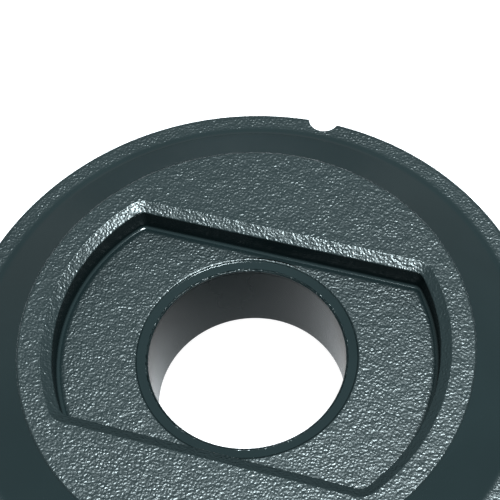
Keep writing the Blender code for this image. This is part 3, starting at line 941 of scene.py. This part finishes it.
    def moulding(self) -> Surface:
        """The whole moulding as one closed skin, with more columns at the notch and the corners.

        A ring's radius is (1 - w) x circle + w x double-D, w being its weight.

        Returns:
            The skin, marked with grain and matt.
        """
        rings = Stations()
        self.outside(rings)
        self.inside(rings)
        self.tube(rings)
        self.underside(rings)
        notch = (math.pi / 2.0, 1.15 * self.notch_radius / self.radius, 48)
        corners = [(angle, math.radians(4.0), 18) for angle in self.pocket.corner_angles()]
        angles = angle_grid(300, [notch, *corners])
        weight, circle, offset, height, grain, matt = rings.columns()
        turn = angles[None, :]
        rounds = self.notched(turn, circle, height)
        radius = (1.0 - weight) * rounds + weight * self.pocket.radius(turn, offset)
        return Surface.tube(ring_points(radius, height, angles), {"grain": grain, "matt": matt})

    def ribs(self) -> Surface:
        """The radial ribs between pocket and skirt: rounded oblongs carried outwards.

        A section's point at angle a is (w/2 sgn(cos a)|cos a|^p, d/2 sgn(sin a)|sin a|^p), p small.

        Returns:
            All ribs as one surface.
        """
        outer = self.skirt_outer - 0.7 * self.skirt_wall
        middle = self.top - self.wall / 2.0 - self.rib_depth / 2.0
        around = np.linspace(0.0, TAU, 40, endpoint=False)
        cosine, sine = np.cos(around), np.sin(around)
        wide = self.rib_width / 2.0 * np.sign(cosine) * np.abs(cosine) ** self.rib_squareness
        deep = self.rib_depth / 2.0 * np.sign(sine) * np.abs(sine) ** self.rib_squareness
        share = np.array([0.96, 1.0, 1.0, 0.96])[:, None]
        ribs = []
        for turn in spaced(self.rib_count, 0.5):
            inner = float(self.pocket.radius(np.array([turn]), np.array(0.5 * self.wall)).item())
            along = np.array([inner, inner + 0.05 * MM, outer - 0.05 * MM, outer])[:, None]
            along = np.broadcast_to(along, (len(share), len(around)))
            grid = np.stack([along, wide * share, middle + deep * share], axis=-1)
            ribs.append(Surface.rod(grid).placed(Matrix.Rotation(turn, 4, "Z")))
        return Surface.joined(ribs)

    def build(self, shop: Workshop) -> None:
        """Add the cover's pieces."""
        shop.piece("cover_moulding", self.moulding(), Slot.GRAINED, "cover_body", ["cover"])
        shop.piece("cover_ribs", self.ribs(), Slot.SMOOTH, "cover_body", ["cover"])


@dataclass
class SnapRing:
    """The open ring of spring wire that clicks the cover into the liner."""

    wire: float = 0.8 * MM
    opening: float = math.radians(14.0)
    steps: int = 180

    def __post_init__(self) -> None:
        """Read the ring's size from the frame."""
        low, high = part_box("snap_ring")
        self.radius = high.x - self.wire
        self.level = (low.z + high.z) / 2.0

    def skin(self) -> Surface:
        """The wire: a circle carried along an arc, with half balls for its ends.

        Near an end the section's radius is w sqrt(1 - s^2), where s w is how far past the last
        full section it lies, and s runs from 0 to nearly 1.

        Returns:
            The closed skin.
        """
        start = -math.pi / 2.0 + self.opening / 2.0
        end = 1.5 * math.pi - self.opening / 2.0
        cap = self.wire / self.radius
        ball = np.sin(np.linspace(0.0, 0.97 * math.pi / 2.0, 9))
        path = np.concatenate([
            start + cap * (1.0 - ball[::-1]), np.linspace(start + cap, end - cap, self.steps)[1:-1],
            end - cap * (1.0 - ball)])
        full = np.sqrt(1.0 - ball ** 2)
        size = self.wire * np.concatenate([full[::-1], np.ones(self.steps - 2), full])[:, None]
        around = np.linspace(0.0, TAU, 24, endpoint=False)[None, :]
        reach = self.radius - size * np.cos(around)
        turn = path[:, None]
        height = self.level + size * np.sin(around)
        return Surface.rod(np.stack([reach * np.cos(turn), reach * np.sin(turn), height], axis=-1))

    def build(self, shop: Workshop) -> None:
        """Add the ring."""
        shop.piece("snap_ring_wire", self.skin(), Slot.SPRING, "ring_body", ["snap_ring"])


# --- Liner and its seal ---


@dataclass
class Liner:
    """The threaded sleeve through the desk: flange, neck, grip ribs, thread and two keyways."""

    wall: float = 2.0 * MM
    thread_depth: float = 1.0 * MM
    pitch: float = 4.0 * MM
    thread_start: float = 1.0 * MM
    turns: int = 7
    flange_thickness: float = 1.2 * MM
    flange_reach: float = 4.6 * MM
    keyway_width: float = 4.0 * MM
    keyway_depth: float = 1.4 * MM
    keyway_edge: float = 0.12 * MM
    keyway_end: float = 0.4 * MM
    rib_count: int = 4
    rib_width: float = 1.6 * MM
    rib_edge: float = 0.25 * MM
    rib_rise: float = 0.8 * MM
    rib_length: float = 6.0 * MM
    rib_run_in: float = 1.0 * MM
    row_step: float = 0.27 * MM

    def __post_init__(self) -> None:
        """Read the liner's box from the frame, and work the other sizes out."""
        low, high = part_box("liner")
        self.foot = low.z
        self.top = high.z
        self.flange = high.x
        self.crest = self.flange - self.flange_reach
        self.root = self.crest - self.thread_depth
        self.bore = self.root - self.wall
        self.flange_foot = self.top - self.flange_thickness
        self.thread_top = self.thread_start + self.turns * self.pitch

    def sleeve_radius(self, angles: np.ndarray, height: np.ndarray) -> np.ndarray:
        """The sleeve's outer radius at heights below the flange.

        root + depth x thread wave, which begins over half a pitch; the neck's crest above the
        thread; then the keyways cut to their bed, and the grip ribs raised.

        Args:
            angles: the directions.
            height: heights, one column.

        Returns:
            Array of rows x angles.
        """
        fade_in = np.clip((height - self.foot - self.thread_start) / (0.5 * self.pitch), 0.0, 1.0)
        wave = thread_wave(angles, height, self.pitch, 0.25) * fade_in
        neck = np.clip((height - self.thread_top - 0.4 * self.pitch) / (0.3 * self.pitch), 0.0, 1.0)
        radius = self.root + self.thread_depth * np.maximum(wave, neck)
        bed = self.crest - self.keyway_depth
        for turn in spaced(2):
            beside = across(angles, radius, turn)
            cut = flank(beside, (self.keyway_width + self.keyway_edge) / 2.0, self.keyway_edge)
            cut = cut * np.clip((self.thread_top - height) / self.keyway_end + 1.0, 0.0, 1.0)
            radius = radius + np.minimum(bed - radius, 0.0) * cut
        rise = np.clip((height - self.flange_foot + self.rib_length) / self.rib_run_in, 0.0, 1.0)
        for turn in spaced(self.rib_count, 0.5):
            beside = across(angles, radius, turn)
            raised = flank(beside, self.rib_width / 2.0, self.rib_edge) * rise
            radius = radius + (self.crest + self.rib_rise - radius) * raised
        return radius

    def skin(self) -> Surface:
        """The liner as one closed skin: the sleeve's rows, then flange, mouth and bore.

        Returns:
            The skin, with more columns at the keyways and the grip ribs.
        """
        windows = [(turn, math.radians(3.6), 50) for turn in spaced(2)]
        windows += [(turn, math.radians(1.6), 24) for turn in spaced(self.rib_count, 0.5)]
        angles = angle_grid(360, windows)
        thread_end = self.thread_top + 0.5 * self.pitch + 0.8 * MM
        threaded = np.arange(self.foot + 0.3 * MM, thread_end, self.row_step)
        ribbed = np.linspace(self.flange_foot - self.rib_length - 0.1 * MM, self.flange_foot, 14)
        height = np.concatenate([threaded, ribbed])[:, None]
        sleeve = self.sleeve_radius(angles, height)
        closing = rounded_path([
            (self.crest + 1.0 * MM, self.flange_foot, 0.0), (self.flange, self.flange_foot, 0.12 * MM),
            (self.flange, self.top, 0.3 * MM), (self.bore, self.top, 0.5 * MM),
            (self.bore, self.foot, 0.3 * MM), (self.root, self.foot, 0.3 * MM),
            (self.root, self.foot + 0.35 * MM, 0.0)], steps=5)[:-1]
        ring = np.broadcast_to(closing[:, :1], (len(closing), len(angles)))
        radius = np.concatenate([sleeve, ring])
        return Surface.tube(ring_points(radius, np.concatenate([height, closing[:, 1:]]), angles))

    def build(self, shop: Workshop) -> None:
        """Add the liner."""
        shop.piece("threaded_liner", self.skin(), Slot.SMOOTH, "liner_body", ["liner"])


@dataclass
class SoftRing:
    """A flat ring of foam or rubber with rounded edges, and on its faces round beads if any."""

    node: str
    name: str
    slot: Slot
    body: str
    width: float
    edge: float
    beads: int = 0
    bead_depth: float = 0.12 * MM
    plain_edge: float = 0.12                # share of the width beside the beads, on each side

    def skin(self) -> Surface:
        """The ring's section, turned: a rounded oblong whose faces may have a row of beads.

        Returns:
            The skin.
        """
        low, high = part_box(self.node)
        outer, inner = high.x, high.x - self.width
        middle = (inner + outer) / 2.0
        path = rounded_path([
            (middle, low.z, 0.0), (outer, low.z, self.edge), (outer, high.z, self.edge),
            (inner, high.z, self.edge), (inner, low.z, self.edge), (middle - 0.1 * MM, low.z, 0.0)])
        if self.beads:
            path = self.beaded(path, inner, low.z, high.z)
        return turned_ring(path, angle_grid(288))

    def beaded(self, path: np.ndarray, inner: float, low: float, high: float) -> np.ndarray:
        """Replace the flat faces by n shallow round beads: the dips are d (1 - |sin(n pi s)|) deep.

        Args:
            path: the plain section.
            inner: the ring's inner radius.
            low: its lower face.
            high: its upper face.

        Returns:
            The beaded section.
        """
        first, last = self.plain_edge, 1.0 - self.plain_edge
        share = np.linspace(0.0, 1.0, 12 * self.beads + 1)
        dip = self.bead_depth * (1.0 - np.abs(np.sin(self.beads * math.pi * share)))
        radius = inner + (first + share * (last - first)) * self.width
        outside = path[path[:, 0] > inner + last * self.width]
        inside = path[path[:, 0] < inner + first * self.width]
        upper = np.stack([radius, high - dip], axis=-1)[::-1]
        lower = np.stack([radius, low + dip], axis=-1)
        return np.concatenate([outside, upper, inside, lower])

    def build(self, shop: Workshop) -> None:
        """Add the ring."""
        shop.piece(self.name, self.skin(), self.slot, self.body, [self.node])


# --- Clamp ---


@dataclass
class Washer:
    """The blanked steel washer, with two inward keys that run in the liner's keyways."""

    width: float = 4.7 * MM
    key_width: float = 3.0 * MM
    key_tip: float = 38.5 * MM
    key_inset: float = 0.2 * MM
    key_edge: float = 0.12 * MM

    def skin(self) -> Surface:
        """The washer's section, turned, with its bore's rows carried inwards at the keys.

        The outer edge is rolled over on one face and sharp on the other, as a punch leaves it.

        Returns:
            The closed skin.
        """
        low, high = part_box("clamp_washer")
        outer, inner = high.x, high.x - self.width
        path = rounded_path([
            (inner + 1.2 * MM, low.z, 0.0), (outer, low.z, 0.08 * MM), (outer, high.z, 0.3 * MM),
            (inner, high.z, 0.1 * MM), (inner, high.z - self.key_inset, 0.0),
            (inner, low.z + self.key_inset, 0.0), (inner, low.z, 0.1 * MM),
            (inner + 1.15 * MM, low.z, 0.0)], steps=5)
        angles = angle_grid(288, [(turn, math.radians(2.6), 40) for turn in spaced(2)])
        height = path[:, 1:]
        in_key = (height > low.z + 0.15 * MM) & (height < high.z - 0.15 * MM)
        keyed = (path[:, :1] < inner + 0.01 * MM) & in_key
        radius = np.broadcast_to(path[:, :1], (len(path), len(angles)))
        for turn in spaced(2):
            beside = across(angles, radius, turn)
            inwards = flank(beside, self.key_width / 2.0, self.key_edge) * keyed
            radius = radius + (self.key_tip - radius) * inwards
        return Surface.tube(ring_points(radius, height, angles))

    def build(self, shop: Workshop) -> None:
        """Add the washer."""
        shop.piece("keyed_washer", self.skin(), Slot.ZINC, "washer_body", ["clamp_washer"])


@dataclass
class Nut:
    """The ring nut: collar, finger ribs, an internal thread and two holes for the lock screws."""

    hub: float = 42.7 * MM
    bore: float = 39.8 * MM
    chamfer: float = 0.4 * MM
    collar_height: float = 2.4 * MM
    rib_count: int = 12
    rib_width: float = 2.4 * MM
    rib_rise: float = 1.4 * MM
    pitch: float = 4.0 * MM
    thread_cut: float = 0.5 * MM
    hole: float = 1.5 * MM
    hole_edge: float = 0.15 * MM
    hole_floor: float = 40.6 * MM
    hole_height: float = 2.8 * MM
    rib_bulge: float = 1.6                  # how soon a rib's rounded side reaches its full height
    thread_inset: float = 0.8 * MM          # face of the nut to the first turn
    thread_fade: float = 0.6 * MM

    def __post_init__(self) -> None:
        """Read the nut's box from the frame."""
        low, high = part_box("clamp_nut")
        self.foot = low.z
        self.top = high.z
        self.collar = high.x
        self.collar_foot = self.top - self.collar_height

    def screw_turns(self) -> list[float]:
        """The lock screws' angles, each between two ribs."""
        first = math.pi / self.rib_count
        return [first, math.pi - first]

    def hub_radius(self, angles: np.ndarray, height: np.ndarray) -> np.ndarray:
        """The hub's outer radius: finger ribs raised on it, and screw holes sunk into it.

        A rib rises by h min(1, b sqrt(1 - (2 x / w)^2)) at a distance x beside its middle.

        Args:
            angles: the directions.
            height: heights, one column.

        Returns:
            Array of rows x angles.
        """
        radius = np.full((len(height), len(angles)), self.hub)
        rising = np.clip((height - self.foot) / (2.0 * self.chamfer) - 1.0, 0.0, 1.0)
        for turn in spaced(self.rib_count):
            beside = across(angles, radius, turn)
            rounded = np.sqrt(np.clip(1.0 - (beside / (self.rib_width / 2.0)) ** 2, 0.0, 1.0))
            radius = radius + self.rib_rise * np.minimum(1.0, self.rib_bulge * rounded) * rising
        for turn in self.screw_turns():
            beside = across(angles, np.full_like(radius, self.hub), turn)
            away = np.hypot(beside, height - self.foot - self.hole_height)
            sunk = flank(away, self.hole + self.hole_edge / 3.0, self.hole_edge)
            radius = radius + (self.hole_floor - radius) * sunk
        return radius

    def skin(self) -> Surface:
        """The nut as one closed skin: foot and hub, collar, top face and threaded bore.

        Returns:
            The skin, with more columns at the ribs and the screw holes.
        """
        windows = [(turn, math.radians(1.8), 14) for turn in spaced(self.rib_count)]
        windows += [(turn, math.radians(2.3), 60) for turn in self.screw_turns()]
        angles = angle_grid(300, windows)
        foot = rounded_path([
            (self.bore + 1.0 * MM, self.foot, 0.0), (self.hub, self.foot, self.chamfer),
            (self.hub, self.foot + 0.9 * MM, 0.0)], steps=4)[:-1]
        hub_height = np.concatenate([
            np.arange(self.foot + 0.75 * MM, self.foot + 4.5 * MM, 0.1 * MM),
            np.linspace(self.foot + 4.6 * MM, self.collar_foot, 5)])[:, None]
        head = rounded_path([
            (self.hub + self.rib_rise + 0.1 * MM, self.collar_foot, 0.0),
            (self.collar, self.collar_foot, 0.2 * MM),
            (self.collar, self.top, self.chamfer), (self.bore, self.top, self.chamfer),
            (self.bore, self.top - 0.9 * MM, 0.0)], steps=4)[:-1]
        bore_height = np.arange(self.top - 0.8 * MM, self.foot + 0.7 * MM, -0.25 * MM)[:, None]
        inset = np.minimum(self.top - bore_height, bore_height - self.foot)
        fade = np.clip((inset - self.thread_inset) / self.thread_fade, 0.0, 1.0)
        bore = self.bore + self.thread_cut * thread_wave(angles, bore_height, self.pitch, 0.25) * fade
        lip = rounded_path([
            (self.bore, self.foot + 0.65 * MM, 0.0), (self.bore, self.foot, self.chamfer),
            (self.bore + 0.9 * MM, self.foot, 0.0)], steps=4)
        level = np.zeros((1, len(angles)))
        radius = np.concatenate([
            foot[:, :1] + level, self.hub_radius(angles, hub_height), head[:, :1] + level, bore,
            lip[:, :1] + level])
        height = np.concatenate([foot[:, 1:], hub_height, head[:, 1:], bore_height, lip[:, 1:]])
        return Surface.tube(ring_points(radius, height, angles))

    def build(self, shop: Workshop) -> None:
        """Add the nut."""
        shop.piece("ring_nut", self.skin(), Slot.SMOOTH, "nut_body", ["clamp_nut"])


@dataclass
class LockScrew:
    """A short set screw with a hexagon socket, in the nut's hub."""

    node: str
    turn: float
    level: float
    outer_end: float
    radius: float = 1.2 * MM
    length: float = 2.4 * MM
    socket: float = 0.65 * MM
    socket_depth: float = 1.2 * MM
    socket_edge: float = 0.05 * MM
    pitch: float = 0.45 * MM
    thread_depth: float = 0.12 * MM

    def skin(self) -> Surface:
        """The screw along Z, outer end up: cone point, thread, chamfer, face and hexagon socket.

        A hexagon of half width h lies at h / cos(a mod 60 deg - 30 deg) from its middle.

        Returns:
            The skin, in place.
        """
        angles = np.linspace(0.0, TAU, 60, endpoint=False)
        shank_height = np.arange(0.35 * MM, self.length - 0.3 * MM, 0.05 * MM)[:, None]
        wave = thread_wave(angles, shank_height, self.pitch, 0.0)
        shank = self.radius - self.thread_depth * (1.0 - wave)
        twelfth = math.pi / 6.0
        hexagon = self.socket * math.cos(twelfth) / np.cos(angles % (2.0 * twelfth) - twelfth)
        end, deep = self.length, self.length - self.socket_depth
        level = np.zeros((1, len(angles)))
        point = np.array([[0.45], [0.5], [0.85]]) * self.radius + level
        face = np.array([[0.88], [0.78], [0.76]]) * self.radius + level
        socket = np.array([[1.06], [1.0], [1.0], [0.97], [0.2]]) * hexagon
        radius = np.concatenate([point, shank, face, socket])
        height = np.concatenate([
            np.array([[0.0], [0.0], [0.3 * MM]]), shank_height,
            np.array([[end - 0.1 * MM], [end], [end]]),
            np.array([[end], [end - self.socket_edge], [deep + self.socket_edge], [deep], [deep]])])
        place = Matrix.Rotation(self.turn, 4, "Z")
        place = place @ Matrix.Translation((self.outer_end - self.length, 0.0, self.level))
        place = place @ Matrix.Rotation(math.pi / 2.0, 4, "Y")
        return Surface.rod(ring_points(radius, height, angles)).placed(place)

    def build(self, shop: Workshop) -> None:
        """Add the screw."""
        shop.piece(self.node + "_steel", self.skin(), Slot.SPRING, "nut_body", [self.node])


@dataclass
class Clamp:
    """Everything under the desk: pad, washer, nut and lock screws."""

    nut: Nut = field(default_factory=Nut)
    washer: Washer = field(default_factory=Washer)
    pad: SoftRing = field(default_factory=lambda: SoftRing(
        "friction_pad", "friction_pad_rubber", Slot.RUBBER, "washer_body", 4.0 * MM, 0.25 * MM, beads=3))
    screw_gap: float = 0.3 * MM             # the screws' ends below the hub's face

    def build(self, shop: Workshop) -> None:
        """Add the clamp's pieces."""
        self.pad.build(shop)
        self.washer.build(shop)
        self.nut.build(shop)
        level = self.nut.foot + self.nut.hole_height
        outer_end = self.nut.hub - self.screw_gap
        for number, turn in enumerate(self.nut.screw_turns(), 1):
            LockScrew(f"lock_screw_{number}", turn, level, outer_end).build(shop)


# --- Studio ---


@dataclass
class Studio:
    """Pale floor, one soft lamp overhead, a dim room and the camera.

    Azimuths turn anticlockwise from the camera's line of sight.
    """

    lens: float = 103.5
    azimuth: float = math.radians(21.72)
    elevation: float = math.radians(58.06)
    distance: float = 220.8 * MM
    roll: float = math.radians(-6.17)
    aim: tuple[float, float] = (-3.63 * MM, 15.10 * MM)
    horizon: tuple[float, float, float] = (0.33, 0.38, 0.39)
    room: tuple[float, float, float] = (0.355, 0.475, 0.50)
    key_azimuth: float = -144.0             # to the right and on the camera's side, in degrees
    key_elevation: float = 78.0
    key_distance: float = 1.0
    key_size: float = 0.30
    key_radiance: float = 215.0
    key_colour: str = "f4fbff"
    spread: float = math.radians(40.0)
    table: str = "a2a6a8"
    glow_patch_distance: float = 0.085           # the table's glowing patch, painted light, lies this far behind the axis
    glow_full_radius: float = 0.078             # it glows fully to this radius
    glow_end_radius: float = 0.115              # and not at all from this one on

    def direction(self, azimuth: float, elevation: float) -> Vector:
        """Unit vector from the object towards a place.

        Args:
            azimuth: degrees from the camera's line of sight.
            elevation: degrees above the floor.

        Returns:
            The vector.
        """
        turn = self.azimuth + math.radians(azimuth)
        flat = math.cos(math.radians(elevation))
        return Vector((-math.sin(turn) * flat, math.cos(turn) * flat, math.sin(math.radians(elevation))))

    def camera(self) -> None:
        """Place the camera: it looks down by the elevation along its azimuth, and is rolled."""
        target = Vector((self.aim[0], self.aim[1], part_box("cover")[1].z))
        towards = -self.direction(180.0, math.degrees(self.elevation))
        right = towards.cross(Vector((0.0, 0.0, 1.0))).normalized()
        up = right.cross(towards)
        c, s = math.cos(self.roll), math.sin(self.roll)
        right, up = right * c + up * s, up * c - right * s
        data = bpy.data.cameras.new("camera")
        data.lens = self.lens
        data.sensor_width = 36.0
        data.clip_start = 0.01
        camera = bpy.data.objects.new("camera", data)
        bpy.context.scene.collection.objects.link(camera)
        turn = Matrix((right, up, -towards)).transposed().to_4x4()
        camera.matrix_world = Matrix.Translation(target - towards * self.distance) @ turn
        bpy.context.scene.camera = camera

    def key(self) -> None:
        """A square soft box with a grid that narrows its beam, aimed at the object.

        The beam fades as 1 - tan x / tan a from its axis to its edge, a being half the spread, so
        it carries 2 (sin^2 a / 2 - (a / 2 - sin 2a / 4) / tan a) of what a bare box would. The
        radiance is how bright its face is, seen along its axis.
        """
        half = self.spread / 2.0
        lost = (half / 2.0 - math.sin(2.0 * half) / 4.0) / math.tan(half)
        share = 2.0 * (math.sin(half) ** 2 / 2.0 - lost)
        data = bpy.data.lights.new("key", "AREA")
        data.size = self.key_size
        data.spread = self.spread
        data.energy = self.key_radiance * math.pi * self.key_size ** 2 * share
        data.color = srgb(self.key_colour)[:3]
        lamp = bpy.data.objects.new("key", data)
        bpy.context.scene.collection.objects.link(lamp)
        towards = self.direction(self.key_azimuth, self.key_elevation)
        turn = towards.to_track_quat("Z", "Y").to_matrix().to_4x4()
        middle = Vector((0.0, 0.0, 0.04))
        lamp.matrix_world = Matrix.Translation(towards * self.key_distance + middle) @ turn

    def floor(self) -> None:
        """A pale table that glows in a round patch just behind the object: painted light, which keeps the
        floor under the object and the floor seen through the bore white in the object's shade.
        """
        radius = np.array([[3.2], [1.6], [0.8], [0.4], [0.2], [0.1], [0.02]])
        angles = angle_grid(96)
        grid = ring_points(radius, np.full_like(radius, -0.0002), angles)
        underneath = ring_points(radius[::-1], np.full_like(radius, -0.004), angles)
        mesh = Surface.rod(np.concatenate([underneath, grid])).to_mesh("pale_table")
        material, tree, shader, place = blank_material("pale_table")
        patch = self.direction(0.0, 0.0) * self.glow_patch_distance
        away = add_node(tree, "VectorMath", {"operation": "DISTANCE"}, {0: place, 1: patch})
        near = add_node(tree, "MapRange", {"interpolation_type": "SMOOTHSTEP"}, {
            "Value": away.outputs["Value"], "From Min": self.glow_full_radius,
            "From Max": self.glow_end_radius, "To Min": 1.0, "To Max": 0.0})
        # Emission Strength is a painted glow, full in the patch, so the floor under and behind the object
        # stays white where the object shades it.
        feed(tree, shader, {
            "Base Color": srgb(self.table), "Roughness": 0.9,
            "Emission Color": srgb("ffffff"), "Emission Strength": near.outputs["Result"]})
        mesh.materials.append(material)
        floor = bpy.data.objects.new("pale_table", mesh)
        bpy.context.scene.collection.objects.link(floor)

    def surroundings(self) -> None:
        """An evenly lit room, a little darker towards the horizon."""
        world = bpy.data.worlds.new("surroundings")
        world.use_nodes = True
        tree = world.node_tree
        way = add_node(tree, "TexCoord", {}, {}).outputs["Generated"]
        height = add_node(tree, "SeparateXYZ", {}, {"Vector": way}).outputs["Z"]
        share = add_node(tree, "MapRange", {"interpolation_type": "SMOOTHSTEP"}, {
            "Value": height, "From Min": 0.0, "From Max": 0.5})
        colour = add_node(tree, "Mix", {"data_type": "RGBA"}, {
            "Factor": share.outputs["Result"], 6: (*self.horizon, 1.0), 7: (*self.room, 1.0)})
        tree.links.new(colour.outputs[2], tree.nodes["Background"].inputs["Color"])
        bpy.context.scene.world = world

    def build(self) -> None:
        """Add floor, camera, lamp and surroundings."""
        self.floor()
        self.camera()
        self.key()
        self.surroundings()
        bpy.context.scene.view_settings.view_transform = "Standard"


def main() -> None:
    """Build every sub-assembly and the studio."""
    logging.basicConfig(level=logging.INFO, format="%(name)s %(message)s")
    shop = Workshop()
    Studio().build()
    Cover().build(shop)
    SnapRing().build(shop)
    Liner().build(shop)
    gasket = SoftRing("flange_gasket", "flange_gasket_foam", Slot.FOAM, "liner_body", 3.4 * MM, 0.3 * MM)
    gasket.build(shop)
    Clamp().build(shop)


if __name__ == "__main__":
    main()
